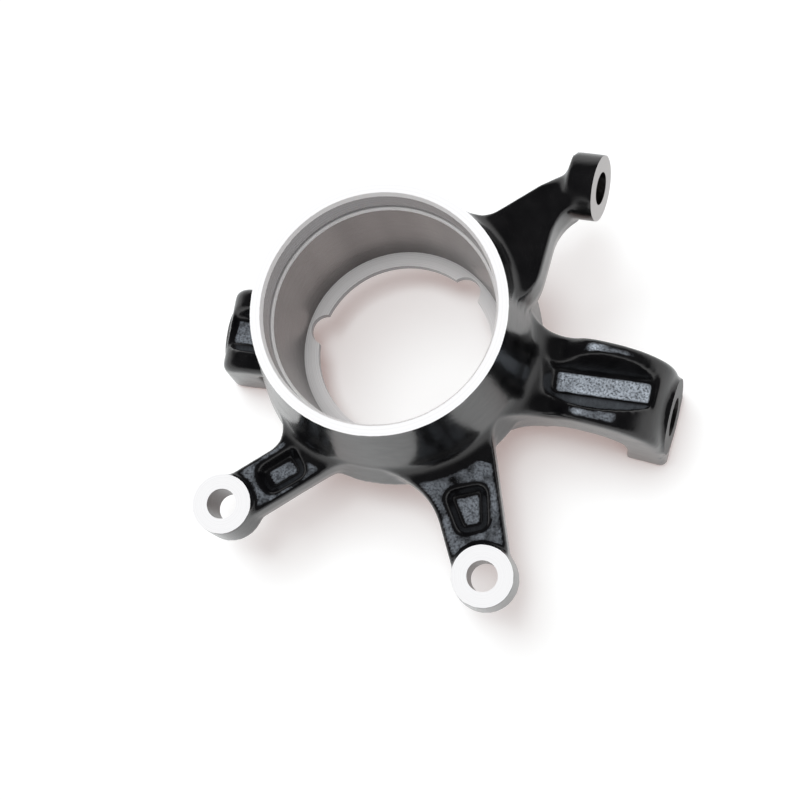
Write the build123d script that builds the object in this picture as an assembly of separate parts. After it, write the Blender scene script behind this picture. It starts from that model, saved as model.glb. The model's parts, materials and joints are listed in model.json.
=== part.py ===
from build123d import *
import math
import os

# A steering knuckle, cast in one piece, coated black and machined at its mounts.
# Millimetres. The origin is the centre of the bearing seat, on the wheel axis. +Z points
# outboard along that axis, +X points down the car, and the caliper is on the -Y side.
# A drop is a distance inboard of the barrel's face, where the modelling starts from, and
# the finished solid is moved to the origin. Headings are degrees from +X towards +Y.

# Bearing barrel
seat_radius = 38.0
seat_length = 44.0
entry_radius = 38.8
entry_length = 9.6
ring_groove_radius = 40.1
ring_groove_width = 2.2
mouth_chamfer = 0.8
seat_chamfer = 0.5
shoulder_radius = 32.6
shoulder_thickness = 3.2
notch_radius = 5.8
notch_centre_radius = 31.0
notch_count = 3
notch_first_heading = 59.0
face_radius = 43.0
face_chamfer = 0.6
skirt_radius = 52.0
skirt_drop = 46.0
rim_radius = 47.0

# Cast walls
cast_draft = 4.0
blend_bite_share = 0.985

# Caliper ears
caliper_spacing = 94.3
caliper_middle = 5.25
caliper_offset = 73.6
caliper_face_drop = 31.0
caliper_boss_length = 15.0
caliper_hole_radius = 5.25
caliper_land_radius = 10.6
ear_step = 3.0
ear_thickness = 12.0
ear_blend = 8.0
ear_reach = 52.0
ear_pocket_start = 15.0
ear_pocket_end = 31.5
ear_pocket_depth = 4.5
ear_pocket_draft = 33.0
ear_pocket_corner = 3.5
upper_ear_heading = 46.0
upper_ear_tip_half = 8.9
upper_ear_root_half = 8.9
upper_ear_left_flare = 9.0
upper_ear_right_flare = 14.0
upper_ear_pocket_tip_half = 6.0
upper_ear_pocket_root_half = 6.3
lower_ear_heading = 117.0
lower_ear_tip_half = 9.8
lower_ear_root_half = 13.6
lower_ear_left_flare = 24.0
lower_ear_right_flare = 7.0
lower_ear_pocket_tip_half = 5.4
lower_ear_pocket_root_half = 8.2

# Steering arm and its tie rod boss
tie_rod_x = 54.0
tie_rod_y = 60.8
tie_rod_drop = 16.0
tie_rod_boss_radius = 11.2
tie_rod_boss_length = 10.0
tie_rod_hole_radius = 5.5
tie_rod_hole_depth = 12.0
tie_rod_lean = 11.0
steering_heading = 46.2
steering_back = 11.2
steering_outer_x = 48.1
steering_neck_y = 46.6
steering_neck_heading = 47.0
steering_elbow = 17.5
steering_back_flare = 12.0
steering_root_y = 21.0
steering_root_round = 18.0
steering_top_drop = 10.0
steering_parting_drop = 21.0
steering_bottom_drop = 29.0
steering_blend = 7.0

# Lower ball joint arm
lower_arm_half_width = 14.8
lower_arm_top_drop = 32.0
lower_arm_root_drop = 37.5
lower_arm_end = 99.6
lower_arm_level_start = 67.5
lower_arm_rise = 30.0
lower_arm_crest = 15.0
lower_arm_arch = 24.0
lower_arm_blend = 13.0
lower_arm_steering_flare = 15.0
lower_arm_ear_flare = 26.0
lower_arm_edge = 2.4
lower_column_width = 12.4
tunnel_drop = 65.4
tunnel_radius = 15.0
lower_joint_drop = 60.0
lower_joint_lean = 7.0
lower_joint_boss_radius = 14.0
lower_joint_boss_height = 0.8
lower_joint_hole_radius = 7.0
lower_channel_start = 57.5
lower_channel_end = 91.5
lower_channel_depth = 9.6
lower_channel_floor_half = 4.1
lower_channel_heading = 6.0
lower_channel_shift = 0.4

# Upper ball joint arm
upper_arm_heading = 187.0
upper_arm_half_width = 16.4
upper_arm_top_drop = 50.5
upper_arm_end = 70.3
upper_arm_arch = 9.0
upper_arm_blend = 10.0
upper_arm_edge = 3.5
upper_arm_thickness = 16.0
upper_joint_drop = 69.0
upper_joint_lean = 7.0
upper_joint_boss_radius = 11.0
upper_joint_boss_height = 0.8
upper_joint_hole_radius = 6.0
upper_channel_start = 54.0
upper_channel_end = 66.5
upper_channel_depth = 6.5
upper_channel_floor_half = 5.0

# Both ball joint arms end on this level, where the knuckle lies on a bench
foot_drop = 82.0
channel_draft = 31.0

# One overrun for every cut
overrun = 2.0


def barrel_height():
    return entry_length + ring_groove_width + seat_length + shoulder_thickness


def seat_middle_drop():
    return entry_length + ring_groove_width + seat_length / 2


def wall_radius(drop):
    """Radius of the barrel's cast wall at a drop below its face."""
    return face_radius + (skirt_radius - face_radius) * drop / skirt_drop


def turned(points):
    """Solid of revolution about the wheel axis, from points of radius and height."""
    with BuildPart() as solid:
        with BuildSketch(Plane.XZ):
            with BuildLine():
                Polyline(*points, close=True)
            make_face()
        revolve(axis=Axis.Z)
    return solid.part


def barrel_blank():
    height = barrel_height()
    return turned([
        (0, 0),
        (face_radius - face_chamfer, 0),
        (face_radius, -face_chamfer),
        (skirt_radius, -skirt_drop),
        (rim_radius, -height),
        (0, -height),
    ])


def bore_tool():
    """The stepped bore: mouth, snap ring groove, bearing seat and shoulder."""
    groove_top = -entry_length
    groove_floor = groove_top - ring_groove_width
    shoulder_top = groove_floor - seat_length
    bottom = shoulder_top - shoulder_thickness - overrun
    mouth_radius = entry_radius + mouth_chamfer
    return turned([
        (0, overrun),
        (mouth_radius, overrun),
        (mouth_radius, 0),
        (entry_radius, -2 * mouth_chamfer),
        (entry_radius, groove_top),
        (ring_groove_radius, groove_top),
        (ring_groove_radius, groove_floor),
        (seat_radius + seat_chamfer, groove_floor),
        (seat_radius, groove_floor - seat_chamfer),
        (seat_radius, shoulder_top),
        (shoulder_radius, shoulder_top),
        (shoulder_radius, bottom),
        (0, bottom),
    ])


def notch_tool():
    """Half-round notches through the shoulder, where a bearing is driven out."""
    depth = shoulder_thickness + 2 * overrun
    bottom = -barrel_height() - overrun
    notch = Pos(0, 0, bottom) * extrude(Circle(notch_radius), amount=depth)
    notches = Part()
    for index in range(notch_count):
        heading = notch_first_heading + index * 360 / notch_count
        notches += Rot(0, 0, heading) * Pos(notch_centre_radius, 0, 0) * notch
    return notches


def space_above(top_drop, blend):
    """Everything over an arm's top, with a hollow blend up to the barrel's wall."""
    slope = math.atan2(skirt_radius - face_radius, skirt_drop)
    centre_z = blend - top_drop
    gap = blend * blend_bite_share
    centre_r = face_radius + (gap - centre_z * math.sin(slope)) / math.cos(slope)
    wall = (centre_r - blend * math.cos(slope), centre_z - blend * math.sin(slope))
    middle_angle = math.radians(225) + slope / 2
    middle = (centre_r + blend * math.cos(middle_angle), centre_z + blend * math.sin(middle_angle))
    foot = (centre_r, -top_drop)
    far = lower_arm_end * 2
    with BuildPart() as space:
        with BuildSketch(Plane.XZ):
            with BuildLine():
                ThreePointArc(wall, middle, foot)
                Polyline(foot, (far, -top_drop), (far, overrun), (shoulder_radius, overrun), wall)
            make_face()
        revolve(axis=Axis.Z)
    return space.part


def corner_nearest(sketch, x, y):
    target = Vector(x, y, 0)
    return min(sketch.vertices(), key=lambda corner: (Vector(corner) - target).length)


def hub_plan(hub_radius, bar, tip, heading, left_flare, right_flare):
    """Plan of an arm: a bar from its tip to the hub's circle, flared into the hub."""
    left = Vector(-math.sin(math.radians(heading)), math.cos(math.radians(heading)), 0)
    plan = Circle(hub_radius) + bar
    for side, flare in ((1, left_flare), (-1, right_flare)):
        on_circle = [
            corner for corner in plan.vertices()
            if abs(Vector(corner).length - hub_radius) < hub_radius / 1000
            and (Vector(corner) - tip).dot(left) * side > 0
        ]
        corner = min(on_circle, key=lambda corner: (Vector(corner) - tip).length)
        plan = fillet(corner, flare)
    return plan


def cast_slab(plan, top_drop, parting_drop, bottom_drop):
    """A slab with draft both ways from its parting line."""
    upper = extrude(plan, amount=parting_drop - top_drop, taper=cast_draft)
    lower = extrude(plan, amount=parting_drop - bottom_drop, taper=cast_draft)
    return Pos(0, 0, -parting_drop) * (upper + lower)


def ear(tip_x, heading, tip_half, root_half, left_flare, right_flare):
    """One caliper ear: a flat web with a boss at its tip."""
    tip_y = -caliper_offset
    top = caliper_face_drop + ear_step
    bottom = top + ear_thickness
    bar = Pos(tip_x, tip_y) * Rot(0, 0, heading) * Polygon(
        (0, -tip_half),
        (ear_reach, -root_half),
        (ear_reach, root_half),
        (0, tip_half),
        align=None,
    )
    plan = hub_plan(wall_radius(top), bar, Vector(tip_x, tip_y), heading, left_flare, right_flare)
    web = cast_slab(plan, top - ear_blend, (top + bottom) / 2, bottom)
    web -= space_above(top, ear_blend)
    boss = extrude(Circle(caliper_land_radius), amount=-caliper_boss_length, taper=-cast_draft)
    return web + Pos(tip_x, tip_y, -caliper_face_drop) * boss


def ear_pocket(tip_x, heading, tip_half, root_half):
    """The drafted recess in the top of an ear."""
    outline = Polygon(
        (ear_pocket_start, -tip_half),
        (ear_pocket_end, -root_half),
        (ear_pocket_end, root_half),
        (ear_pocket_start, tip_half),
        align=None,
    )
    outline = fillet(outline.vertices(), ear_pocket_corner)
    recess = extrude(outline, amount=-ear_pocket_depth, taper=ear_pocket_draft)
    lid = extrude(outline, amount=ear_step)
    top = caliper_face_drop + ear_step
    return Pos(tip_x, -caliper_offset, -top) * Rot(0, 0, heading) * (recess + lid)


def caliper_holes():
    depth = caliper_boss_length + 2 * overrun
    hole = extrude(Circle(caliper_hole_radius), amount=-depth)
    holes = Part()
    for side in (-1, 1):
        x = caliper_middle + side * caliper_spacing / 2
        holes += Pos(x, -caliper_offset, overrun - caliper_face_drop) * hole
    return holes


def steering_arm():
    """The web that runs from the barrel to the tie rod boss, and the boss."""
    turn = math.radians(steering_heading)
    along = Vector(math.cos(turn), math.sin(turn))
    across = Vector(-math.sin(turn), math.cos(turn))
    tip = Vector(tie_rod_x, tie_rod_y)
    back_foot = across * steering_back + along * shoulder_radius
    back_tip = across * steering_back + along * (tip.dot(along) - tie_rod_boss_length / 2)
    neck_run = tie_rod_x - steering_outer_x
    neck_y = steering_neck_y + neck_run * math.tan(math.radians(steering_neck_heading))
    bar = Polygon(
        (0, 0),
        (shoulder_radius, 0),
        (steering_outer_x, steering_root_y),
        (steering_outer_x, steering_neck_y),
        (tie_rod_x, neck_y),
        (tie_rod_x, back_tip.Y),
        (back_tip.X, back_tip.Y),
        (back_foot.X, back_foot.Y),
        align=None,
    )
    bar = fillet(corner_nearest(bar, steering_outer_x, steering_neck_y), steering_elbow)
    bar = fillet(corner_nearest(bar, steering_outer_x, steering_root_y), steering_root_round)
    plan = Circle(wall_radius(steering_top_drop)) + bar
    plan = fillet(corner_nearest(plan, back_foot.X, back_foot.Y), steering_back_flare)
    web = cast_slab(plan, 0, steering_parting_drop, steering_bottom_drop)
    web -= space_above(steering_top_drop, steering_blend)
    return web + tie_rod_place() * Cylinder(tie_rod_boss_radius, tie_rod_boss_length)


def tie_rod_place():
    return Pos(tie_rod_x, tie_rod_y, -tie_rod_drop) * Rot(0, 90 - tie_rod_lean, 0)


def tie_rod_hole():
    """The blind hole in the boss's outer face."""
    middle = (tie_rod_boss_length + overrun - tie_rod_hole_depth) / 2
    drill = Cylinder(tie_rod_hole_radius, tie_rod_hole_depth + overrun)
    return tie_rod_place() * Pos(0, 0, middle) * drill


def side_plate(points, bends, half_width):
    """A prism across an arm, from points of reach and height, with some corners bent."""
    outline = Polygon(*points, align=None)
    for reach, height, radius in bends:
        outline = fillet(corner_nearest(outline, reach, height), radius)
    return extrude(Plane.XZ * outline, amount=half_width, both=True)


def softened(plate, half_width, end_reach, radius):
    """Round the upper and outer edges on both sides of an arm's plate."""
    return fillet([
        edge for edge in plate.edges()
        if abs(abs(edge.center().Y) - half_width) < half_width / 1000
        and edge.center().X > shoulder_radius + radius
        and (edge.center().Z > radius - barrel_height() or edge.center().X > end_reach)
        and edge.center().Z > radius - foot_drop
    ], radius)


def leaning(reach, drop, lean, at_drop):
    """Reach, at another drop, of a joint face that leans and passes reach at drop."""
    return reach + (at_drop - drop) * math.tan(math.radians(lean))


def joint_place(reach, drop, lean):
    return Pos(reach, 0, -drop) * Rot(0, 90 - lean, 0)


def joint_boss(reach, drop, lean, radius, height):
    """The raised round face that a ball joint seats on."""
    disc = Cylinder(radius, radius + height)
    return joint_place(reach, drop, lean) * Pos(0, 0, (height - radius) / 2) * disc


def joint_hole(reach, drop, lean, radius, depth):
    return joint_place(reach, drop, lean) * Pos(0, 0, -depth / 2) * Cylinder(radius, depth + 2 * overrun)


def channel(length, floor_half, top_drop, depth):
    """The drafted trough along the top of an arm."""
    floor = Rectangle(length, 2 * floor_half)
    trough = extrude(floor, amount=depth + overrun, taper=-channel_draft)
    return Pos(0, 0, -top_drop - depth) * trough


def arm_root(hub_radius, tip_reach, half_width, top_drop, blend, left_flare, right_flare):
    """The flared foot of a ball joint arm on the barrel's wall."""
    bar = Pos(tip_reach / 2, 0) * Rectangle(tip_reach, 2 * half_width)
    plan = hub_plan(hub_radius, bar, Vector(tip_reach, 0), 180, left_flare, right_flare)
    height = barrel_height() - top_drop + blend
    foot = Pos(0, 0, -barrel_height()) * extrude(plan, amount=height)
    return foot - space_above(top_drop, blend)


def lower_arm():
    """The arched arm down to the lower ball joint, in its own direction."""
    inner = lower_arm_end - lower_column_width
    tunnel_reach = inner - tunnel_radius
    top_end = leaning(lower_arm_end, lower_joint_drop, lower_joint_lean, lower_arm_top_drop)
    outer_foot = leaning(lower_arm_end, lower_joint_drop, lower_joint_lean, foot_drop)
    fall = (lower_arm_level_start - skirt_radius) * math.tan(math.radians(lower_arm_rise))
    plate = side_plate([
        (shoulder_radius, -barrel_height()),
        (shoulder_radius, -lower_arm_top_drop - fall),
        (skirt_radius, -lower_arm_top_drop - fall),
        (lower_arm_level_start, -lower_arm_top_drop),
        (top_end, -lower_arm_top_drop),
        (outer_foot, -foot_drop),
        (inner, -foot_drop),
        (inner, -tunnel_drop),
        (tunnel_reach, -tunnel_drop),
        (tunnel_reach, -barrel_height()),
    ], [
        (lower_arm_level_start, -lower_arm_top_drop, lower_arm_crest),
        (top_end, -lower_arm_top_drop, lower_arm_arch),
    ], lower_arm_half_width)
    plate = softened(plate, lower_arm_half_width, (inner + lower_arm_end) / 2, lower_arm_edge)
    arm = plate + arm_root(
        rim_radius, (lower_arm_level_start + lower_arm_end) / 2, lower_arm_half_width,
        lower_arm_root_drop, lower_arm_blend, lower_arm_ear_flare, lower_arm_steering_flare,
    )
    arm -= Pos(tunnel_reach, 0, -tunnel_drop) * Rot(90, 0, 0) * Cylinder(tunnel_radius, foot_drop)
    arm += joint_boss(
        lower_arm_end, lower_joint_drop, lower_joint_lean,
        lower_joint_boss_radius, lower_joint_boss_height,
    )
    arm -= joint_hole(
        lower_arm_end, lower_joint_drop, lower_joint_lean,
        lower_joint_hole_radius, lower_arm_end - tunnel_reach,
    )
    middle = (lower_channel_start + lower_channel_end) / 2
    trough = channel(
        lower_channel_end - lower_channel_start, lower_channel_floor_half,
        lower_arm_top_drop, lower_channel_depth,
    )
    return arm - Pos(middle, lower_channel_shift, 0) * Rot(0, 0, lower_channel_heading) * trough


def upper_arm():
    """The short arm up to the upper ball joint, in its own direction."""
    inner = upper_arm_end - upper_arm_thickness
    top_end = leaning(upper_arm_end, upper_joint_drop, upper_joint_lean, upper_arm_top_drop)
    outer_foot = leaning(upper_arm_end, upper_joint_drop, upper_joint_lean, foot_drop)
    plate = side_plate([
        (shoulder_radius, -barrel_height()),
        (shoulder_radius, -upper_arm_top_drop),
        (top_end, -upper_arm_top_drop),
        (outer_foot, -foot_drop),
        (inner, -foot_drop),
        (inner, -barrel_height()),
    ], [
        (top_end, -upper_arm_top_drop, upper_arm_arch),
    ], upper_arm_half_width)
    plate = softened(plate, upper_arm_half_width, (inner + upper_arm_end) / 2, upper_arm_edge)
    arm = plate - space_above(upper_arm_top_drop, upper_arm_blend)
    arm += joint_boss(
        upper_arm_end, upper_joint_drop, upper_joint_lean,
        upper_joint_boss_radius, upper_joint_boss_height,
    )
    arm -= joint_hole(
        upper_arm_end, upper_joint_drop, upper_joint_lean,
        upper_joint_hole_radius, upper_arm_thickness,
    )
    middle = (upper_channel_start + upper_channel_end) / 2
    trough = channel(
        upper_channel_end - upper_channel_start, upper_channel_floor_half,
        upper_arm_top_drop, upper_channel_depth,
    )
    return arm - Pos(middle, 0, 0) * trough


os.makedirs("parts", exist_ok=True)
upper_ear_x = caliper_middle - caliper_spacing / 2
lower_ear_x = caliper_middle + caliper_spacing / 2
knuckle = barrel_blank()
knuckle += ear(
    upper_ear_x, upper_ear_heading, upper_ear_tip_half, upper_ear_root_half,
    upper_ear_left_flare, upper_ear_right_flare,
)
knuckle += ear(
    lower_ear_x, lower_ear_heading, lower_ear_tip_half, lower_ear_root_half,
    lower_ear_left_flare, lower_ear_right_flare,
)
knuckle -= ear_pocket(
    upper_ear_x, upper_ear_heading, upper_ear_pocket_tip_half, upper_ear_pocket_root_half,
)
knuckle -= ear_pocket(
    lower_ear_x, lower_ear_heading, lower_ear_pocket_tip_half, lower_ear_pocket_root_half,
)
knuckle += steering_arm()
knuckle += lower_arm()
knuckle += Rot(0, 0, upper_arm_heading) * upper_arm()
knuckle -= tie_rod_hole()
knuckle -= caliper_holes()
knuckle -= bore_tool()
knuckle -= notch_tool()
knuckle = Pos(0, 0, seat_middle_drop()) * knuckle
export_step(knuckle, "parts/knuckle.step")
print("volume", knuckle.volume, "solids", len(knuckle.solids()), "valid", knuckle.is_valid)
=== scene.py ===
"""Looks for a bare steering knuckle that lies on a pale table.

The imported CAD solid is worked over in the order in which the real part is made. A raw
casting is taken from it, with its holes filled and some metal left on the faces to be cut.
Its edges and corners are softened and its skin is made slightly uneven. Then the machined
bore, holes and faces are cut to the CAD solid's exact form, and each surface gets its finish.
"""

import json
import logging
import math
from dataclasses import dataclass, field
from enum import Enum
from typing import Any, Sequence

import bmesh
import bpy
import numpy as np
from mathutils import Matrix, Vector, noise


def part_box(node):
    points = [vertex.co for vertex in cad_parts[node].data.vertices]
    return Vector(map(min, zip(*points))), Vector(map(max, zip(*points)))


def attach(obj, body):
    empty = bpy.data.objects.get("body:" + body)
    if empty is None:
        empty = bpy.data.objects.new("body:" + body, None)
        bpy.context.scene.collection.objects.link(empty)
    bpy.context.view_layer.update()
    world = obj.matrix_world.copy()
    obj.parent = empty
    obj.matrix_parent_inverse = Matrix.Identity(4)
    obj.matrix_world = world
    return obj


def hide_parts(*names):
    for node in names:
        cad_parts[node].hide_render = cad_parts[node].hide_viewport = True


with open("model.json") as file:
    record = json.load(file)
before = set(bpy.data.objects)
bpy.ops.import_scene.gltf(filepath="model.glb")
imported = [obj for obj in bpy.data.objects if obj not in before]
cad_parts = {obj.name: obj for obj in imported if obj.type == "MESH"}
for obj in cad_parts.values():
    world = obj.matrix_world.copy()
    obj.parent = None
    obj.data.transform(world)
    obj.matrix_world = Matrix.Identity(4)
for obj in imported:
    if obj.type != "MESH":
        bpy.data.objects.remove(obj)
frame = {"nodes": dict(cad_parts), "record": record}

LOG = logging.getLogger("knuckle")
MM = 0.001
NODE = "knuckle"
WELD_DISTANCE = 1e-6
JOIN_DISTANCE = 4e-6
SLIVER_DISTANCE = 2e-6
ROD_SEGMENTS = 128
UP = Vector((0, 0, 1))


class Zone(Enum):
    """A surface of the knuckle with a finish of its own. The value is its material slot."""

    COAT = 0
    BARREL_FACE = 1
    BORE_WALL = 2
    BORE_SEAT = 3
    BORE_LEDGE = 4
    UPPER_EAR = 5
    LOWER_EAR = 6
    EYE_FACE = 7
    DRILLED = 8
    ARM_END = 9


# Mesh tools.


def link_mesh(name: str, mesh: bpy.types.Mesh) -> bpy.types.Object:
    """Put a mesh into the scene.

    Args:
        name: Name of the new object.
        mesh: The mesh to show.

    Returns:
        The new object, at the origin.
    """
    obj = bpy.data.objects.new(name, mesh)
    bpy.context.scene.collection.objects.link(obj)
    return obj


def drop_object(obj: bpy.types.Object) -> None:
    """Remove a helper object and its mesh.

    Args:
        obj: The object that is no longer needed.
    """
    mesh = obj.data
    bpy.data.objects.remove(obj)
    bpy.data.meshes.remove(mesh)


def read_vectors(items: bpy.types.bpy_prop_collection, name: str) -> np.ndarray:
    """Read one vector from each vertex or face of a mesh.

    Args:
        items: The mesh's vertices or polygons.
        name: The vector's name, such as co, center or normal.

    Returns:
        The vectors, one to a row.
    """
    values = np.empty(len(items) * 3)
    items.foreach_get(name, values)
    return values.reshape(-1, 3)


def rod(
    name: str, centre: Vector, axis: Vector, radius: float, low: float, high: float,
) -> bpy.types.Object:
    """Make a closed round rod along an axis.

    Args:
        name: Name of the new object.
        centre: A point on the axis, in metres.
        axis: Direction of the axis.
        radius: Radius in metres.
        low: Where the rod starts along the axis, from the centre, in metres.
        high: Where it ends.

    Returns:
        The rod as a mesh object.
    """
    turn = axis.to_track_quat("Z", "Y").to_matrix().to_4x4()
    place = Matrix.Translation(centre + axis * (low + high) / 2) @ turn
    build = bmesh.new()
    bmesh.ops.create_cone(
        build, cap_ends=True, cap_tris=False, segments=ROD_SEGMENTS,
        radius1=radius, radius2=radius, depth=high - low, matrix=place,
    )
    mesh = bpy.data.meshes.new(name)
    build.to_mesh(mesh)
    build.free()
    return link_mesh(name, mesh)


def settle(obj: bpy.types.Object) -> None:
    """Replace an object's mesh by what its modifiers make of it.

    Args:
        obj: The mesh object, which keeps no modifiers.
    """
    graph = bpy.context.evaluated_depsgraph_get()
    mesh = bpy.data.meshes.new_from_object(obj.evaluated_get(graph))
    old = obj.data
    obj.modifiers.clear()
    obj.data = mesh
    bpy.data.meshes.remove(old)


def cut_away(target: bpy.types.Object, tool: bpy.types.Object) -> None:
    """Take a tool's volume out of a target.

    Args:
        target: The mesh object that is cut.
        tool: The closed mesh object that cuts it, which is left as it is.
    """
    modifier = target.modifiers.new("cut", "BOOLEAN")
    modifier.operation = "DIFFERENCE"
    modifier.solver = "MANIFOLD"
    modifier.object = tool
    settle(target)


def clean_cuts(mesh: bpy.types.Mesh) -> None:
    """Join the near double points that cutting leaves and drop slivers.

    Args:
        mesh: The mesh that has been cut.
    """
    build = bmesh.new()
    build.from_mesh(mesh)
    bmesh.ops.remove_doubles(build, verts=build.verts, dist=JOIN_DISTANCE)
    bmesh.ops.dissolve_degenerate(build, edges=build.edges, dist=SLIVER_DISTANCE)
    build.to_mesh(mesh)
    build.free()


def welded_copy(name: str, source: bpy.types.Object) -> bpy.types.Object:
    """Copy a CAD node's mesh, with the points that its faces share joined.

    Args:
        name: Name of the new object.
        source: The CAD node's object, which is left as it is.

    Returns:
        The closed copy.
    """
    build = bmesh.new()
    build.from_mesh(source.data)
    bmesh.ops.remove_doubles(build, verts=build.verts, dist=WELD_DISTANCE)
    mesh = bpy.data.meshes.new(name)
    build.to_mesh(mesh)
    build.free()
    return link_mesh(name, mesh)


# The raw casting.


@dataclass(frozen=True)
class Machining:
    """One machined spot: a round face and its hole, on one axis. Lengths in metres.

    The margin is how far the boring tool reaches past the hole's radius, and the filler takes
    a share of it. The open end is how much of the hole's inner end lies outside the metal.
    """

    name: str
    centre: Vector
    axis: Vector
    face: float
    land_radius: float
    hole_radius: float
    plug_low: float
    margin: float = 0.25 * MM
    open_end: float = 0.0
    fill_share: float = 0.6
    plug_depth: float = 6 * MM
    facing_overlap: float = 3 * MM
    facing_height: float = 6 * MM
    boring_overrun: float = 2 * MM

    def plug(self, allowance: float) -> bpy.types.Object:
        """Make the metal that fills the hole and stands on the face before cutting.

        Args:
            allowance: How far the raw metal stands over the finished face.

        Returns:
            The plug as a mesh object.
        """
        return rod(
            f"plug_{self.name}", self.centre, self.axis,
            self.land_radius, self.face - self.plug_depth, self.face + allowance,
        )

    def filler(self) -> bpy.types.Object:
        """Make the rod that fills the hole, flush with the metal at its inner end.

        Returns:
            The filler as a mesh object.
        """
        return rod(
            f"filler_{self.name}", self.centre, self.axis,
            self.hole_radius + self.fill_share * self.margin,
            self.plug_low + self.open_end, self.face,
        )

    def facing_tool(self) -> bpy.types.Object:
        """Make the disc of space above the finished face."""
        return rod(
            f"facing_{self.name}", self.centre, self.axis,
            self.land_radius + self.facing_overlap, self.face, self.face + self.facing_height,
        )

    def boring_tool(self, cad: bpy.types.Object, allowance: float) -> bpy.types.Object:
        """Make the hole's space exactly as it is in the CAD solid.

        Args:
            cad: The closed copy of the CAD solid.
            allowance: How far the tool passes the hole's inner end.

        Returns:
            The boring tool as a mesh object.
        """
        tool = rod(
            f"boring_{self.name}", self.centre, self.axis,
            self.hole_radius + self.margin,
            self.plug_low - 2 * allowance, self.face + self.boring_overrun,
        )
        cut_away(tool, cad)
        return tool


@dataclass(frozen=True)
class SoftSpot:
    """A corner of the casting that blends more than the rest. Lengths in millimetres."""

    centre: tuple[float, float, float]
    radius: float
    passes: int


@dataclass
class RawCasting:
    """The casting before it is machined, remeshed evenly from the CAD solid."""

    voxel: float = 0.85 * MM
    passes: int = 4
    hold: float = 0.5
    waviness: float = 0.09 * MM
    wave_length: float = 7.0 * MM
    ripple_rate: float = 3.0
    ripple_share: float = 0.5
    allowance: float = 1.3 * MM
    soft_spots: tuple[SoftSpot, ...] = (
        SoftSpot((50.0, 54.0, 22.0), 9.0, 50),
        SoftSpot((45.0, 61.0, 22.0), 8.0, 60),
        SoftSpot((41.0, 20.0, 18.0), 10.0, 25),
        SoftSpot((57.0, 11.0, -3.0), 9.0, 50),
        SoftSpot((57.0, -11.0, -3.0), 9.0, 50),
        SoftSpot((101.0, 0.0, 0.0), 8.0, 30),
        SoftSpot((101.0, 9.0, -2.0), 9.0, 40),
        SoftSpot((101.0, -9.0, -2.0), 9.0, 40),
    )

    def build(self, cad: bpy.types.Object, spots: Sequence[Machining]) -> bpy.types.Object:
        """Make the raw casting from the CAD solid.

        Args:
            cad: The closed copy of the CAD solid.
            spots: The machined spots, whose holes and faces are filled.

        Returns:
            The casting as one even mesh.
        """
        build = bmesh.new()
        build.from_mesh(cad.data)
        for spot in spots:
            for helper in (spot.plug(self.allowance), spot.filler()):
                build.from_mesh(helper.data)
                drop_object(helper)
        mesh = bpy.data.meshes.new("knuckle_casting")
        build.to_mesh(mesh)
        build.free()
        casting = link_mesh("knuckle_casting", mesh)
        remesh = casting.modifiers.new("even", "REMESH")
        remesh.mode = "VOXEL"
        remesh.voxel_size = self.voxel
        settle(casting)
        self._soften(casting.data)
        self._roughen(casting.data)
        return casting

    def _soften(self, mesh: bpy.types.Mesh) -> None:
        """Round the casting's edges and fill its corners.

        Args:
            mesh: The casting's mesh.
        """
        points = read_vectors(mesh.vertices, "co")
        pairs = np.empty(len(mesh.edges) * 2, int)
        mesh.edges.foreach_get("vertices", pairs)
        pairs = pairs.reshape(-1, 2)
        points = self._relaxed(points, pairs, np.full(len(points), self.hold), self.passes)
        for spot in self.soft_spots:
            away = np.linalg.norm(points - np.array(spot.centre) * MM, axis=1)
            share = np.clip(1 - away / (spot.radius * MM), 0, 1)
            weight = self.hold * share * share * (3 - 2 * share)
            points = self._relaxed(points, pairs, weight, spot.passes)
        mesh.vertices.foreach_set("co", points.ravel())
        mesh.update()

    @staticmethod
    def _relaxed(
        points: np.ndarray, pairs: np.ndarray, weight: np.ndarray, passes: int,
    ) -> np.ndarray:
        """Move each point towards the middle of its neighbours.

        Args:
            points: The points, one to a row.
            pairs: The two points of each edge.
            weight: How far each point goes, from 0 to 1.
            passes: How often this is done.

        Returns:
            The moved points.
        """
        count = len(points)
        degree = np.bincount(pairs.ravel(), minlength=count)
        for _ in range(passes):
            total = np.empty_like(points)
            for column in range(3):
                values = points[:, column]
                total[:, column] = np.bincount(pairs[:, 0], values[pairs[:, 1]], count)
                total[:, column] += np.bincount(pairs[:, 1], values[pairs[:, 0]], count)
            points = points + weight[:, None] * (total / degree[:, None] - points)
        return points

    def _roughen(self, mesh: bpy.types.Mesh) -> None:
        """Make the casting's skin slightly uneven.

        Args:
            mesh: The casting's mesh.
        """
        points = read_vectors(mesh.vertices, "co")
        normals = read_vectors(mesh.vertices, "normal")
        places = [Vector(point) for point in points / self.wave_length]
        swell = np.array([
            noise.noise(place) + noise.noise(place * self.ripple_rate) * self.ripple_share
            for place in places
        ])
        points -= normals * (self.waviness * (1 + swell) / 2)[:, None]
        mesh.vertices.foreach_set("co", points.ravel())
        mesh.update()


# Shader tools.


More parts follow.
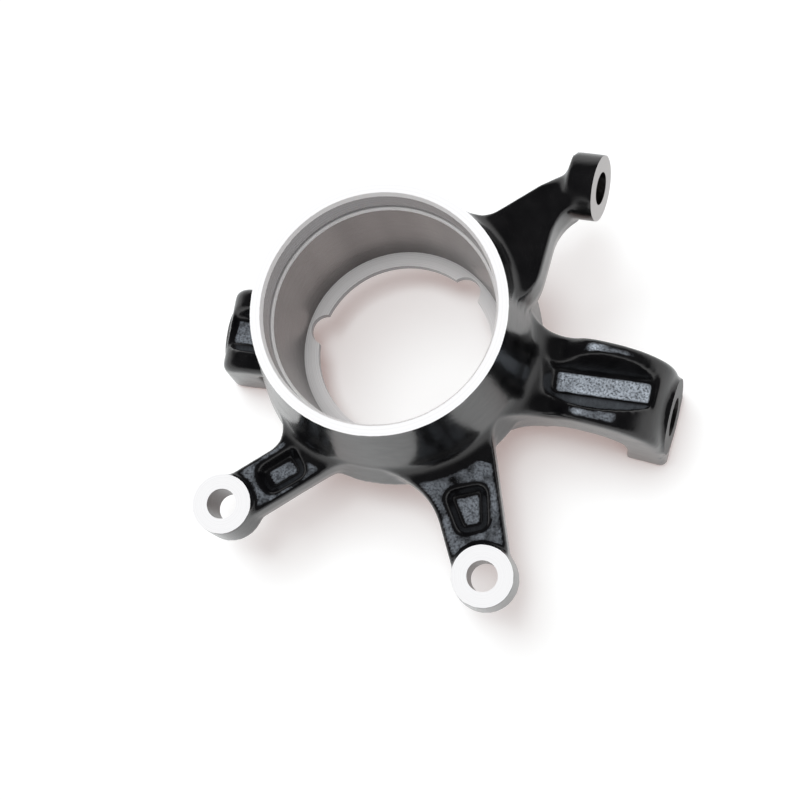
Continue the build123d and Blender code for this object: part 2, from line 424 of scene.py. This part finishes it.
class NodeBench:
    """A small helper that adds nodes to a tree and joins them."""

    mix_factor = 0
    mix_first = 6
    mix_second = 7
    mix_result = 2

    def __init__(self, tree: bpy.types.NodeTree) -> None:
        """Keep the tree that the nodes go into."""
        self.tree = tree

    def add(
        self, kind: str, inputs: dict[Any, Any] | None = None, **settings: Any,
    ) -> bpy.types.Node:
        """Add a node.

        Args:
            kind: Blender's name for the node's type.
            inputs: Values or output sockets for its input sockets, by name or number.
            settings: Properties of the node itself.

        Returns:
            The new node.
        """
        node = self.tree.nodes.new(kind)
        for name, value in settings.items():
            setattr(node, name, value)
        for key, value in (inputs or {}).items():
            if isinstance(value, bpy.types.NodeSocket):
                self.tree.links.new(value, node.inputs[key])
            else:
                node.inputs[key].default_value = value
        return node

    def math(
        self, operation: str, first: Any, second: Any = 0.0, clamp: bool = False,
    ) -> bpy.types.NodeSocket:
        """Add a Math node and return its value."""
        inputs = {0: first, 1: second}
        return self.add("ShaderNodeMath", inputs, operation=operation, use_clamp=clamp).outputs[0]

    def mix(self, factor: Any, first: Any, second: Any) -> bpy.types.NodeSocket:
        """Mix two colours.

        Args:
            factor: Share of the second colour.
            first: The first colour, or a socket that gives it.
            second: The second colour, or a socket that gives it.

        Returns:
            The socket of the mixed colour.
        """
        node = self.add("ShaderNodeMix", data_type="RGBA")
        inputs = {self.mix_factor: factor, self.mix_first: first, self.mix_second: second}
        for key, value in inputs.items():
            if isinstance(value, bpy.types.NodeSocket):
                self.tree.links.new(value, node.inputs[key])
            else:
                node.inputs[key].default_value = value
        return node.outputs[self.mix_result]

    def spread(
        self, value: Any, low: float, high: float, to_low: Any, to_high: Any,
    ) -> bpy.types.NodeSocket:
        """Map a value from one range to another, held at the ends."""
        inputs = {0: value, 1: low, 2: high, 3: to_low, 4: to_high}
        return self.add("ShaderNodeMapRange", inputs).outputs[0]


class SharedEffects:
    """The node groups that more than one finish uses, each built once."""

    mottle_per_metre = 130.0
    cell_depth = -0.35
    threshold_share = 0.75
    grain_contrast = 3.6
    streaks_per_turn = 1.4

    def __init__(self) -> None:
        """Build the groups."""
        self.cast_skin = self._cast_skin()
        self.tool_marks = self._tool_marks()

    @staticmethod
    def _new_group(
        name: str, inputs: Sequence[tuple[str, str]], outputs: Sequence[str],
    ) -> bpy.types.NodeTree:
        """Make an empty shader group.

        Args:
            name: Name of the group.
            inputs: Name and socket type of each input.
            outputs: Name of each output, all of them values.

        Returns:
            The group's node tree.
        """
        tree = bpy.data.node_groups.new(name, "ShaderNodeTree")
        for label, kind in inputs:
            tree.interface.new_socket(name=label, in_out="INPUT", socket_type=kind)
        for label in outputs:
            tree.interface.new_socket(name=label, in_out="OUTPUT", socket_type="NodeSocketFloat")
        return tree

    def _cast_skin(self) -> bpy.types.NodeTree:
        """Build the skin of a casting: pebbled height, bright grains and slow mottle.

        Returns:
            The group's node tree.
        """
        tree = self._new_group(
            "cast_skin",
            [
                ("Place", "NodeSocketVector"),
                ("Grain per metre", "NodeSocketFloat"),
                ("Grain share", "NodeSocketFloat"),
            ],
            ["Height", "Grains", "Mottle"],
        )
        bench = NodeBench(tree)
        given = bench.add("NodeGroupInput").outputs
        pebbles = bench.add(
            "ShaderNodeTexNoise",
            {"Vector": given["Place"], "Scale": given["Grain per metre"],
             "Detail": 4.0, "Roughness": 0.62},
        ).outputs["Fac"]
        cells = bench.add(
            "ShaderNodeTexVoronoi",
            {"Vector": given["Place"], "Scale": given["Grain per metre"], "Randomness": 1.0},
        ).outputs["Distance"]
        slow = bench.add(
            "ShaderNodeTexNoise",
            {"Vector": given["Place"], "Scale": self.mottle_per_metre,
             "Detail": 3.0, "Roughness": 0.55},
        ).outputs["Fac"]
        height = bench.math("ADD", pebbles, bench.math("MULTIPLY", cells, self.cell_depth))
        threshold = bench.math("SUBTRACT", 1.0, given["Grain share"])
        under = bench.math("MULTIPLY", threshold, self.threshold_share)
        over = bench.math("SUBTRACT", pebbles, under)
        grains = bench.math("MULTIPLY", over, self.grain_contrast, clamp=True)
        out = bench.add("NodeGroupOutput", {"Height": height, "Grains": grains, "Mottle": slow})
        out.is_active_output = True
        return tree

    def _tool_marks(self) -> bpy.types.NodeTree:
        """Build the fine rings that a facing or boring tool leaves round its axis.

        Returns:
            The group's node tree.
        """
        tree = self._new_group(
            "tool_marks",
            [
                ("Place", "NodeSocketVector"),
                ("Centre", "NodeSocketVector"),
                ("Rings per metre", "NodeSocketFloat"),
            ],
            ["Height", "Shade", "Angle shade"],
        )
        bench = NodeBench(tree)
        given = bench.add("NodeGroupInput").outputs
        offset = bench.add(
            "ShaderNodeVectorMath", {0: given["Place"], 1: given["Centre"]}, operation="SUBTRACT",
        )
        parts = bench.add("ShaderNodeSeparateXYZ", {0: offset.outputs[0]}).outputs
        flat = bench.add("ShaderNodeCombineXYZ", {"X": parts["X"], "Y": parts["Y"]}).outputs[0]
        radius = bench.add("ShaderNodeVectorMath", {0: flat}, operation="LENGTH").outputs["Value"]
        unit = bench.add("ShaderNodeVectorMath", {0: flat}, operation="NORMALIZE").outputs[0]
        along = bench.math("ADD", radius, parts["Z"])
        turns = bench.math("MULTIPLY", along, given["Rings per metre"])
        rings = bench.add(
            "ShaderNodeTexNoise", {"W": turns, "Scale": 1.0, "Detail": 3.0}, noise_dimensions="1D",
        ).outputs["Fac"]
        streaks = bench.add(
            "ShaderNodeTexNoise",
            {"Vector": unit, "Scale": self.streaks_per_turn, "Detail": 2.0, "Roughness": 0.5},
        ).outputs["Fac"]
        out = bench.add(
            "NodeGroupOutput", {"Height": rings, "Shade": rings, "Angle shade": streaks},
        )
        out.is_active_output = True
        return tree


# Finishes.


@dataclass(frozen=True)
class CoatFinish:
    """Black coat on the casting, with rough bluish patches of cast skin whose bright grains are a
    painted glint.
    """

    name: str = "black_coat"
    black: tuple[float, float, float, float] = (0.003, 0.003, 0.0035, 1.0)
    worn_black: tuple[float, float, float, float] = (0.007, 0.0068, 0.0075, 1.0)
    patch_dark: tuple[float, float, float, float] = (0.012, 0.013, 0.016, 1.0)
    patch_glint_grain: tuple[float, float, float, float] = (0.64, 0.71, 0.80, 1.0)
    roughness: float = 0.19
    patch_roughness: float = 0.55
    grain_per_metre: float = 1300.0
    grain_share: float = 0.60
    specular: float = 0.65
    raggedness: float = 1.1
    patch_edge: tuple[float, float] = (0.42, 0.62)
    patch_reach: tuple[float, float] = (0.02, 0.2)
    fading: float = 3.0
    mottle_range: tuple[float, float] = (0.35, 0.65)
    mottle_shade: tuple[float, float] = (0.62, 1.08)
    wear_range: tuple[float, float] = (0.35, 0.7)
    gloss_range: tuple[float, float] = (0.3, 0.7)
    gloss_change: tuple[float, float] = (-0.02, 0.035)
    patch_change: tuple[float, float] = (0.1, -0.12)
    smooth_bump: float = 0.07
    bump_strength: float = 0.7
    bump_distance: float = 0.4 * MM

    def material(self, effects: SharedEffects) -> bpy.types.Material:
        """Build the material.

        Args:
            effects: The shared node groups.

        Returns:
            The finished material.
        """
        material = bpy.data.materials.new(self.name)
        material.use_nodes = True
        tree = material.node_tree
        tree.nodes.clear()
        bench = NodeBench(tree)
        place = bench.add("ShaderNodeTexCoord").outputs["Object"]
        glint_share = bench.add("ShaderNodeAttribute", attribute_name="rough_skin_glint").outputs["Fac"]
        skin = bench.add("ShaderNodeGroup", node_tree=effects.cast_skin)
        tree.links.new(place, skin.inputs["Place"])
        skin.inputs["Grain per metre"].default_value = self.grain_per_metre
        skin.inputs["Grain share"].default_value = self.grain_share
        grains, mottle = skin.outputs["Grains"], skin.outputs["Mottle"]
        drift = bench.math("MULTIPLY", bench.math("SUBTRACT", mottle, 0.5), self.raggedness)
        patch = bench.spread(bench.math("ADD", glint_share, drift), *self.patch_edge, 0.0, 1.0)
        patch = bench.math("MULTIPLY", patch, bench.spread(glint_share, *self.patch_reach, 0.0, 1.0))
        # Painted glint: the bright bluish grain colour on up-facing rough skin stands in for the
        # lamp's glint.
        brightness = bench.math("MULTIPLY", bench.math("POWER", glint_share, self.fading), grains)
        shade = bench.spread(mottle, *self.mottle_range, *self.mottle_shade)
        brightness = bench.math("MULTIPLY", brightness, shade)
        wear = bench.spread(mottle, *self.wear_range, 0.0, 1.0)
        coat = bench.mix(wear, self.black, self.worn_black)
        rough_glint_colour = bench.mix(brightness, self.patch_dark, self.patch_glint_grain)
        colour = bench.mix(patch, coat, rough_glint_colour)
        smooth_ends = [self.roughness + change for change in self.gloss_change]
        rough_ends = [self.patch_roughness + change for change in self.patch_change]
        smooth = bench.spread(mottle, *self.gloss_range, *smooth_ends)
        uneven = bench.spread(grains, 0.0, 1.0, *rough_ends)
        roughness = bench.math(
            "ADD",
            bench.math("MULTIPLY", smooth, bench.math("SUBTRACT", 1.0, patch)),
            bench.math("MULTIPLY", uneven, patch),
        )
        relief = bench.spread(patch, 0.0, 1.0, self.smooth_bump, 1.0)
        depth = bench.math("MULTIPLY", skin.outputs["Height"], relief)
        bump = bench.add(
            "ShaderNodeBump",
            {"Height": depth, "Strength": self.bump_strength, "Distance": self.bump_distance},
        )
        shader = bench.add(
            "ShaderNodeBsdfPrincipled",
            {"Base Color": colour, "Roughness": roughness, "Normal": bump.outputs[0],
             "Specular IOR Level": self.specular, "IOR": 1.5},
        )
        bench.add("ShaderNodeOutputMaterial", {"Surface": shader.outputs[0]})
        return material


@dataclass(frozen=True)
class CutFinish:
    """Bright metal with the marks of the tool that cut it."""

    name: str
    bright: tuple[float, float, float, float]
    dull: tuple[float, float, float, float]
    centre: tuple[float, float, float] = (0.0, 0.0, 0.0)
    roughness: float = 0.3
    rings_per_metre: float = 3600.0
    streaked: bool = False
    metallic: float = 1.0
    shade_range: tuple[float, float] = (0.36, 0.66)
    gloss_range: tuple[float, float] = (0.3, 0.7)
    gloss_change: tuple[float, float] = (-0.05, 0.06)
    bump_strength: float = 0.35
    bump_distance: float = 0.05 * MM

    def material(self, effects: SharedEffects) -> bpy.types.Material:
        """Build the material.

        Args:
            effects: The shared node groups.

        Returns:
            The finished material.
        """
        material = bpy.data.materials.new(self.name)
        material.use_nodes = True
        tree = material.node_tree
        tree.nodes.clear()
        bench = NodeBench(tree)
        place = bench.add("ShaderNodeTexCoord").outputs["Object"]
        marks = bench.add("ShaderNodeGroup", node_tree=effects.tool_marks)
        tree.links.new(place, marks.inputs["Place"])
        marks.inputs["Centre"].default_value = self.centre
        marks.inputs["Rings per metre"].default_value = self.rings_per_metre
        shade = marks.outputs["Angle shade"] if self.streaked else marks.outputs["Shade"]
        factor = bench.spread(shade, *self.shade_range, 0.0, 1.0)
        colour = bench.mix(factor, self.dull, self.bright)
        ends = [self.roughness + change for change in self.gloss_change]
        roughness = bench.spread(marks.outputs["Shade"], *self.gloss_range, *ends)
        bump = bench.add(
            "ShaderNodeBump",
            {"Height": marks.outputs["Height"], "Strength": self.bump_strength,
             "Distance": self.bump_distance},
        )
        shader = bench.add(
            "ShaderNodeBsdfPrincipled",
            {"Base Color": colour, "Roughness": roughness, "Normal": bump.outputs[0],
             "Metallic": self.metallic},
        )
        bench.add("ShaderNodeOutputMaterial", {"Surface": shader.outputs[0]})
        return material


# The knuckle.


@dataclass(frozen=True)
class SkinGlintPatch:
    """A part of the casting's top with rough skin and a painted glint. Lengths in millimetres."""

    centre: tuple[float, float, float]
    half: tuple[float, float, float]
    heading: float
    strength: float
    fade: float = 2.0

    def share(self, points: np.ndarray) -> np.ndarray:
        """Say how strongly each point carries the rough skin and its painted glint.

        Args:
            points: The points in metres, one to a row.

        Returns:
            From 0 outside the patch to its strength inside, for each point.
        """
        turn = math.radians(self.heading)
        offset = points / MM - np.array(self.centre)
        along = offset[:, 0] * math.cos(turn) + offset[:, 1] * math.sin(turn)
        across = -offset[:, 0] * math.sin(turn) + offset[:, 1] * math.cos(turn)
        edge = np.maximum(np.abs(across) - self.half[1], np.abs(offset[:, 2]) - self.half[2])
        ends = np.clip(0.5 + (self.half[0] - np.abs(along)) / self.fade, 0, 1)
        return self.strength * ends * np.clip(0.5 - edge / 2, 0, 1)


@dataclass(frozen=True)
class EarSkinGlints:
    """The tops of the two ears, with rough skin and a painted glint. Lengths in millimetres."""

    nearest: float = -36.0
    lowest: float = -7.0
    highest: float = 1.2
    start: float = 50.0
    fade: float = 5.0
    strength: float = 0.60
    pocket_top: float = -1.5
    pocket_fade: float = 2.0
    pocket_extra: float = 0.05

    def share(self, points: np.ndarray) -> np.ndarray:
        """Say how strongly each point carries the rough skin and its painted glint.

        Args:
            points: The points in metres, one to a row.

        Returns:
            0 away from the ears, and more on the ears and in their pockets, for each point.
        """
        away = np.hypot(points[:, 0], points[:, 1])
        ear = (points[:, 1] < self.nearest * MM) & (points[:, 2] > self.lowest * MM)
        ear &= points[:, 2] < self.highest * MM
        # Painted glint that grows away from the barrel.
        shade = np.clip((away / MM - self.start) / self.fade, 0, 1) * self.strength
        depth = np.clip((self.pocket_top - points[:, 2] / MM) / self.pocket_fade, 0, 1)
        return np.where(ear, shade + depth * self.pocket_extra, 0.0)


@dataclass
class Knuckle:
    """The steering knuckle: one casting with its machined bore, holes and faces.

    Lengths are in metres and the crease is in degrees. The numbers from level to sloping are
    cosines, by which faces are sorted after the direction they face.
    """

    barrel_land: float = 42.95 * MM
    barrel_hole: float = 38.9 * MM
    groove_margin: float = 2.6 * MM
    caliper_land: float = 10.55 * MM
    caliper_depth: float = 15.0 * MM
    tie_rod_land: float = 11.15 * MM
    tie_rod_open_end: float = 2.0 * MM
    lower_joint_land: float = 13.95 * MM
    upper_joint_land: float = 10.95 * MM
    barrel_bottom: float = -0.0252
    seat_radius: float = 38.0 * MM
    seat_top: float = 22.5 * MM
    bore_reach: float = 41.2 * MM
    flatness: float = 0.03 * MM
    wall_tolerance: float = 0.1 * MM
    seat_tolerance: float = 0.3 * MM
    land_tolerance: float = 2 * MM
    crease: float = 32.0
    level: float = 0.999
    upright: float = 0.99
    square_on: float = 0.95
    side_on: float = 0.2
    sloping: float = 0.3
    level_start: float = 0.88
    level_fade: float = 0.1
    casting: RawCasting = field(default_factory=RawCasting)
    # Where the rough skin carries a painted glint: arm channels, rib tops and a pocket.
    patches: tuple[SkinGlintPatch, ...] = (
        SkinGlintPatch((76.2, 1.2, -7.8), (18.0, 5.7, 0.8), 6.0, 1.0, 3.5),
        SkinGlintPatch((68.6, 11.0, 1.8), (5.5, 2.7, 2.5), 0.0, 0.88, 8.0),
        SkinGlintPatch((73.0, 10.6, 1.8), (12.0, 2.2, 2.5), 0.0, 0.6, 6.0),
        SkinGlintPatch((67.0, -11.2, 1.8), (5.5, 3.0, 2.5), 0.0, 0.9, 8.0),
        SkinGlintPatch((69.5, -11.2, 1.8), (15.0, 3.0, 2.5), 0.0, 0.62, 6.0),
        SkinGlintPatch((-61.5, -7.5, -20.0), (5.0, 5.5, 6.0), 7.0, 0.66),
    )
    ears: EarSkinGlints = EarSkinGlints()

    def spots(self) -> dict[str, Machining]:
        """Read where the knuckle is machined from the record's mounts.

        Returns:
            Each machined spot by its name.
        """
        mounts = {mount["name"]: mount for mount in frame["record"]["mounts"]}
        _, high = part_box(NODE)
        bore = mounts["bearing_bore"]
        bolts = mounts["caliper_bolts"]
        found = {
            "barrel": Machining(
                "barrel", Vector(bore["pos_m"]), UP, high.z,
                self.barrel_land, self.barrel_hole, self.barrel_bottom, margin=self.groove_margin,
            ),
        }
        for name, side in (("upper_ear", -1), ("lower_ear", 1)):
            aside = Vector((side * bolts["dims"]["spacing_x_mm"] * MM / 2, 0, 0))
            found[name] = Machining(
                name, Vector(bolts["pos_m"]) + aside, UP, 0.0,
                self.caliper_land, bolts["dims"]["hole_r_mm"] * MM, -self.caliper_depth,
            )
        for name, key, land in (
            ("tie_rod", "tie_rod_hole", self.tie_rod_land),
            ("lower_joint", "lower_ball_joint_hole", self.lower_joint_land),
            ("upper_joint", "upper_ball_joint_hole", self.upper_joint_land),
        ):
            mount = mounts[key]
            half = mount["dims"]["length_mm"] * MM / 2
            found[name] = Machining(
                name, Vector(mount["pos_m"]), Vector(mount["axis"]).normalized(), half,
                land, mount["dims"]["r_mm"] * MM, -half,
                open_end=self.tie_rod_open_end if name == "tie_rod" else 0.0,
            )
        return found

    def build(self) -> bpy.types.Object:
        """Cast the knuckle and machine it.

        Returns:
            The knuckle's mesh object.
        """
        cad = welded_copy("cad_copy", frame["nodes"][NODE])
        spots = self.spots()
        body = self.casting.build(cad, list(spots.values()))
        LOG.info("raw casting: %d faces", len(body.data.polygons))
        for spot in spots.values():
            for tool in (spot.facing_tool(), spot.boring_tool(cad, self.casting.allowance)):
                cut_away(body, tool)
                drop_object(tool)
            LOG.info("machined %s: %d faces", spot.name, len(body.data.polygons))
        drop_object(cad)
        clean_cuts(body.data)
        return body

    def _sort_faces(self, mesh: bpy.types.Mesh, spots: dict[str, Machining]) -> None:
        """Give each face its finish and set which edges stay crisp.

        Args:
            mesh: The knuckle's mesh.
            spots: Each machined spot by its name.
        """
        count = len(mesh.polygons)
        middle = read_vectors(mesh.polygons, "center")
        normal = read_vectors(mesh.polygons, "normal")
        zone = np.full(count, Zone.COAT.value)
        flat = np.zeros(count, bool)
        walls = []
        for name, where in (
            ("upper_ear", Zone.UPPER_EAR), ("lower_ear", Zone.LOWER_EAR),
            ("tie_rod", Zone.EYE_FACE),
            ("lower_joint", Zone.ARM_END), ("upper_joint", Zone.ARM_END),
        ):
            spot = spots[name]
            offset = middle - np.array(spot.centre)
            axial = offset @ np.array(spot.axis)
            radial = np.linalg.norm(offset - axial[:, None] * np.array(spot.axis), axis=1)
            facing = normal @ np.array(spot.axis)
            face = (np.abs(axial - spot.face) < self.flatness) & (facing > self.square_on)
            face &= radial < spot.land_radius + self.land_tolerance
            wall = (radial < spot.hole_radius + self.wall_tolerance) & (axial < spot.face)
            wall &= axial > spot.plug_low - MM
            zone[wall] = Zone.DRILLED.value
            zone[face] = where.value
            flat |= face
            walls.append((spot, wall & (np.abs(facing) < self.side_on)))
        barrel = spots["barrel"]
        radial = np.hypot(middle[:, 0], middle[:, 1])
        inside = (radial < self.bore_reach) & (middle[:, 2] > barrel.plug_low - self.flatness)
        inside &= middle[:, 2] < barrel.face + self.flatness
        underside = (normal[:, 2] < -self.sloping) & (middle[:, 2] < barrel.plug_low + MM)
        zone[inside & ~underside] = Zone.BORE_WALL.value
        zone[inside & (normal[:, 2] > self.sloping)] = Zone.BORE_LEDGE.value
        seat = inside & (np.abs(radial - self.seat_radius) < self.seat_tolerance)
        seat &= np.abs(normal[:, 2]) < self.side_on
        zone[seat & (middle[:, 2] < self.seat_top)] = Zone.BORE_SEAT.value
        face = np.abs(middle[:, 2] - barrel.face) < self.flatness
        face &= normal[:, 2] > self.square_on
        zone[face] = Zone.BARREL_FACE.value
        flat |= face | (inside & (np.abs(normal[:, 2]) > self.level))
        mesh.polygons.foreach_set("material_index", zone.astype(np.int32))
        mesh.set_sharp_from_angle(angle=math.radians(self.crease))
        mesh.polygons.foreach_set("use_smooth", ~flat)
        outward = middle[:, :2] / np.maximum(radial, 1e-6)[:, None]
        inward = np.abs((normal[:, :2] * outward).sum(axis=1))
        walls.append((barrel, inside & (inward > self.upright)))
        self._round_walls(mesh, walls)

    @staticmethod
    def _round_walls(mesh: bpy.types.Mesh, walls: Sequence[tuple[Machining, np.ndarray]]) -> None:
        """Shade the bored walls as true cylinders, whatever facets they have.

        Args:
            mesh: The knuckle's mesh.
            walls: Each machined spot with a mask of the faces that are its round wall.
        """
        corners = np.empty(len(mesh.loops) * 3)
        mesh.corner_normals.foreach_get("vector", corners)
        corners = corners.reshape(-1, 3)
        totals = np.empty(len(mesh.polygons), np.int32)
        mesh.polygons.foreach_get("loop_total", totals)
        index = np.empty(len(mesh.loops), np.int32)
        mesh.loops.foreach_get("vertex_index", index)
        points = read_vectors(mesh.vertices, "co")[index]
        for spot, mask in walls:
            chosen = np.repeat(mask, totals)
            axis = np.array(spot.axis)
            offset = points[chosen] - np.array(spot.centre)
            offset -= (offset @ axis)[:, None] * axis
            corners[chosen] = -offset / np.linalg.norm(offset, axis=1)[:, None]
        mesh.normals_split_custom_set([tuple(corner) for corner in corners])

    def _mark_skin_glints(self, mesh: bpy.types.Mesh) -> None:
        """Store on each point how strongly the rough skin and its painted glint show on the
        casting's tops.

        Args:
            mesh: The knuckle's mesh.
        """
        points = read_vectors(mesh.vertices, "co")
        level = read_vectors(mesh.vertices, "normal")[:, 2]
        # Painted glint only on faces that look up, towards the lamps.
        up = np.clip((level - self.level_start) / self.level_fade, 0, 1)
        glint_share = np.zeros(len(points))
        for patch in self.patches:
            glint_share = np.maximum(glint_share, patch.share(points))
        glint_share = np.maximum(glint_share, self.ears.share(points)) * up
        attribute = mesh.attributes.new("rough_skin_glint", "FLOAT", "POINT")
        attribute.data.foreach_set("value", glint_share.astype(np.float32))

    @staticmethod
    def _finishes(spots: dict[str, Machining]) -> dict[Zone, CoatFinish | CutFinish]:
        """Choose the finish of each zone.

        Args:
            spots: Each machined spot by its name.

        Returns:
            Each zone with its finish.
        """
        white, pale = (0.94, 0.94, 0.95, 1.0), (0.87, 0.87, 0.88, 1.0)
        return {
            Zone.COAT: CoatFinish(),
            Zone.BARREL_FACE: CutFinish("turned_face", white, pale, roughness=0.42, metallic=0.12),
            Zone.BORE_WALL: CutFinish(
                "bored_walls", (0.27, 0.265, 0.27, 1.0), (0.18, 0.177, 0.182, 1.0),
                roughness=0.24, rings_per_metre=1500.0,
            ),
            Zone.BORE_SEAT: CutFinish(
                "bored_seat", (0.21, 0.189, 0.183, 1.0), (0.135, 0.118, 0.115, 1.0),
                roughness=0.27, rings_per_metre=2200.0, streaked=True,
            ),
            Zone.BORE_LEDGE: CutFinish(
                "turned_ledges", (0.95, 0.94, 0.94, 1.0), (0.80, 0.78, 0.78, 1.0),
                roughness=0.34, metallic=0.1,
            ),
            Zone.UPPER_EAR: CutFinish(
                "milled_upper_ear", white, pale, centre=tuple(spots["upper_ear"].centre),
                roughness=0.42, metallic=0.12,
            ),
            Zone.LOWER_EAR: CutFinish(
                "milled_lower_ear", white, pale, centre=tuple(spots["lower_ear"].centre),
                roughness=0.42, metallic=0.12,
            ),
            Zone.EYE_FACE: CutFinish(
                "faced_eye", (0.46, 0.44, 0.435, 1.0), (0.36, 0.34, 0.335, 1.0),
                centre=tuple(spots["tie_rod"].centre), roughness=0.36,
            ),
            Zone.DRILLED: CutFinish(
                "drilled_holes", (0.19, 0.182, 0.18, 1.0), (0.14, 0.135, 0.134, 1.0),
                roughness=0.34, rings_per_metre=500.0,
            ),
            Zone.ARM_END: CoatFinish(
                "coated_arm_end", black=(0.016, 0.015, 0.015, 1.0),
                worn_black=(0.030, 0.028, 0.027, 1.0), roughness=0.40, specular=0.25,
            ),
        }

    def dress(self, body: bpy.types.Object, effects: SharedEffects) -> None:
        """Give the knuckle its materials, in the order of their zones.

        Args:
            body: The knuckle's mesh object.
            effects: The shared node groups.
        """
        spots = self.spots()
        finishes = self._finishes(spots)
        body.data.materials.clear()
        for zone in Zone:
            body.data.materials.append(finishes[zone].material(effects))
        self._sort_faces(body.data, spots)
        self._mark_skin_glints(body.data)


# The table and the studio.


@dataclass(frozen=True)
class Table:
    """The pale table top that the knuckle lies on. Sizes in metres."""

    half: float = 3.0
    colour: tuple[float, float, float, float] = (0.92, 0.90, 0.89, 1.0)
    shaded_colour: tuple[float, float, float, float] = (0.78, 0.885, 0.905, 1.0)
    own_colour: tuple[float, float, float, float] = (0.27, 0.17, 0.15, 1.0)
    fade_start: float = 0.13
    fade_end: float = 0.32

    def build(self) -> bpy.types.Object:
        """Lay the table under the lowest point of the knuckle.

        Returns:
            The table's mesh object.
        """
        low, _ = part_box(NODE)
        mesh = bpy.data.meshes.new("table_top")
        corners = [(-1, -1), (1, -1), (1, 1), (-1, 1)]
        points = [(x * self.half, y * self.half, low.z) for x, y in corners]
        mesh.from_pydata(points, [], [(0, 1, 2, 3)])
        table = link_mesh("table_top", mesh)
        mesh.materials.append(self._paint())
        return table

    def _paint(self) -> bpy.types.Material:
        """Build the table's paint, which fades to white away from the knuckle.

        Returns:
            The finished material.
        """
        material = bpy.data.materials.new("table_paint")
        material.use_nodes = True
        material.node_tree.nodes.clear()
        bench = NodeBench(material.node_tree)
        seen = bench.add("ShaderNodeLightPath").outputs
        shown = bench.math("MAXIMUM", seen["Is Camera Ray"], seen["Is Transmission Ray"])
        shown = bench.math("MAXIMUM", shown, seen["Is Glossy Ray"])
        place = bench.add("ShaderNodeTexCoord").outputs["Object"]
        away = bench.add("ShaderNodeVectorMath", {0: place}, operation="LENGTH").outputs["Value"]
        far = bench.spread(away, self.fade_start, self.fade_end, 0.0, 1.0)
        black, white = (0.0, 0.0, 0.0, 1.0), (1.0, 1.0, 1.0, 1.0)
        colour = bench.mix(shown, self.colour, bench.mix(far, self.shaded_colour, black))
        own = bench.mix(shown, black, bench.mix(far, self.own_colour, white))
        shader = bench.add(
            "ShaderNodeBsdfPrincipled",
            {"Base Color": colour, "Roughness": 0.8, "Specular IOR Level": 0.0,
             "Emission Color": own, "Emission Strength": 1.0},
        )
        bench.add("ShaderNodeOutputMaterial", {"Surface": shader.outputs[0]})
        return material


@dataclass(frozen=True)
class Lamp:
    """A round soft lamp that points at the knuckle. Lengths in metres, power in watts."""

    name: str
    place: tuple[float, float, float]
    size: float
    power: float

    def hang(self) -> None:
        """Put the lamp into the scene, where gloss doesn't show it."""
        data = bpy.data.lights.new(self.name, "AREA")
        data.shape = "DISK"
        data.size = self.size
        data.energy = self.power
        lamp = bpy.data.objects.new(self.name, data)
        place = Vector(self.place)
        turn = place.to_track_quat("Z", "Y").to_matrix().to_4x4()
        lamp.matrix_world = Matrix.Translation(place) @ turn
        lamp.visible_glossy = False
        bpy.context.scene.collection.objects.link(lamp)


@dataclass(frozen=True)
class Studio:
    """Camera, lamps and surroundings. Lengths in metres."""

    camera_place: tuple[float, float, float] = (0.097323, -0.090167, 0.402710)
    camera_right: tuple[float, float, float] = (0.9481199106, 0.2728476081, -0.1631650020)
    camera_down: tuple[float, float, float] = (0.2364523208, -0.9482860483, -0.2117637139)
    camera_ahead: tuple[float, float, float] = (-0.2125063178, 0.1621966502, -0.9636043335)
    lens: float = 54.0
    sensor: float = 36.0
    lamps: tuple[Lamp, ...] = (
        Lamp("ceiling_panel", (-0.28, 0.22, 1.20), 0.70, 7.8),
        Lamp("overhead_panel", (0.05, -0.03, 1.20), 0.40, 4.7),
    )
    fill_light: float = 0.45
    wall_light: float = 1.0
    ceiling_light: float = 0.04
    wall_top: float = 0.15
    ceiling_start: float = 0.50

    def place_camera(self) -> None:
        """Put the camera where the photo was taken from."""
        data = bpy.data.cameras.new("camera")
        data.lens = self.lens
        data.sensor_width = self.sensor
        data.clip_start = 0.01
        camera = bpy.data.objects.new("camera", data)
        rows = (
            self.camera_right, [-v for v in self.camera_down], [-v for v in self.camera_ahead],
        )
        turn = Matrix(rows).transposed()
        camera.matrix_world = Matrix.Translation(self.camera_place) @ turn.to_4x4()
        bpy.context.scene.collection.objects.link(camera)
        bpy.context.scene.camera = camera

    def light(self) -> None:
        """Hang the lamps in an evenly lit room, whose ceiling looks dim in gloss."""
        for lamp in self.lamps:
            lamp.hang()
        world = bpy.data.worlds.new("surroundings")
        world.use_nodes = True
        world.node_tree.nodes.clear()
        bench = NodeBench(world.node_tree)
        direction = bench.add("ShaderNodeTexCoord").outputs["Generated"]
        height = bench.add("ShaderNodeSeparateXYZ", {0: direction}).outputs["Z"]
        mirrored = bench.spread(
            height, self.wall_top, self.ceiling_start, self.wall_light, self.ceiling_light,
        )
        seen = bench.add("ShaderNodeLightPath").outputs
        shown = bench.math("MAXIMUM", seen["Is Camera Ray"], seen["Is Transmission Ray"])
        strength = bench.spread(seen["Is Glossy Ray"], 0.0, 1.0, self.fill_light, mirrored)
        strength = bench.spread(shown, 0.0, 1.0, strength, 1.0)
        inputs = {"Color": (1, 1, 1, 1), "Strength": strength}
        background = bench.add("ShaderNodeBackground", inputs)
        bench.add("ShaderNodeOutputWorld", {"Surface": background.outputs[0]})
        bpy.context.scene.world = world
        bpy.context.scene.view_settings.view_transform = "Standard"


def main() -> None:
    """Build, dress and light the knuckle."""
    logging.basicConfig(level=logging.INFO, format="%(message)s")
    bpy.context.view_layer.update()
    effects = SharedEffects()
    knuckle = Knuckle()
    body = knuckle.build()
    knuckle.dress(body, effects)
    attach(body, "root")
    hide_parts(NODE)
    LOG.info("knuckle: %d faces", len(body.data.polygons))
    table = Table().build()
    LOG.info("table: %s", table.name)
    studio = Studio()
    studio.place_camera()
    studio.light()


if __name__ == "__main__":
    main()
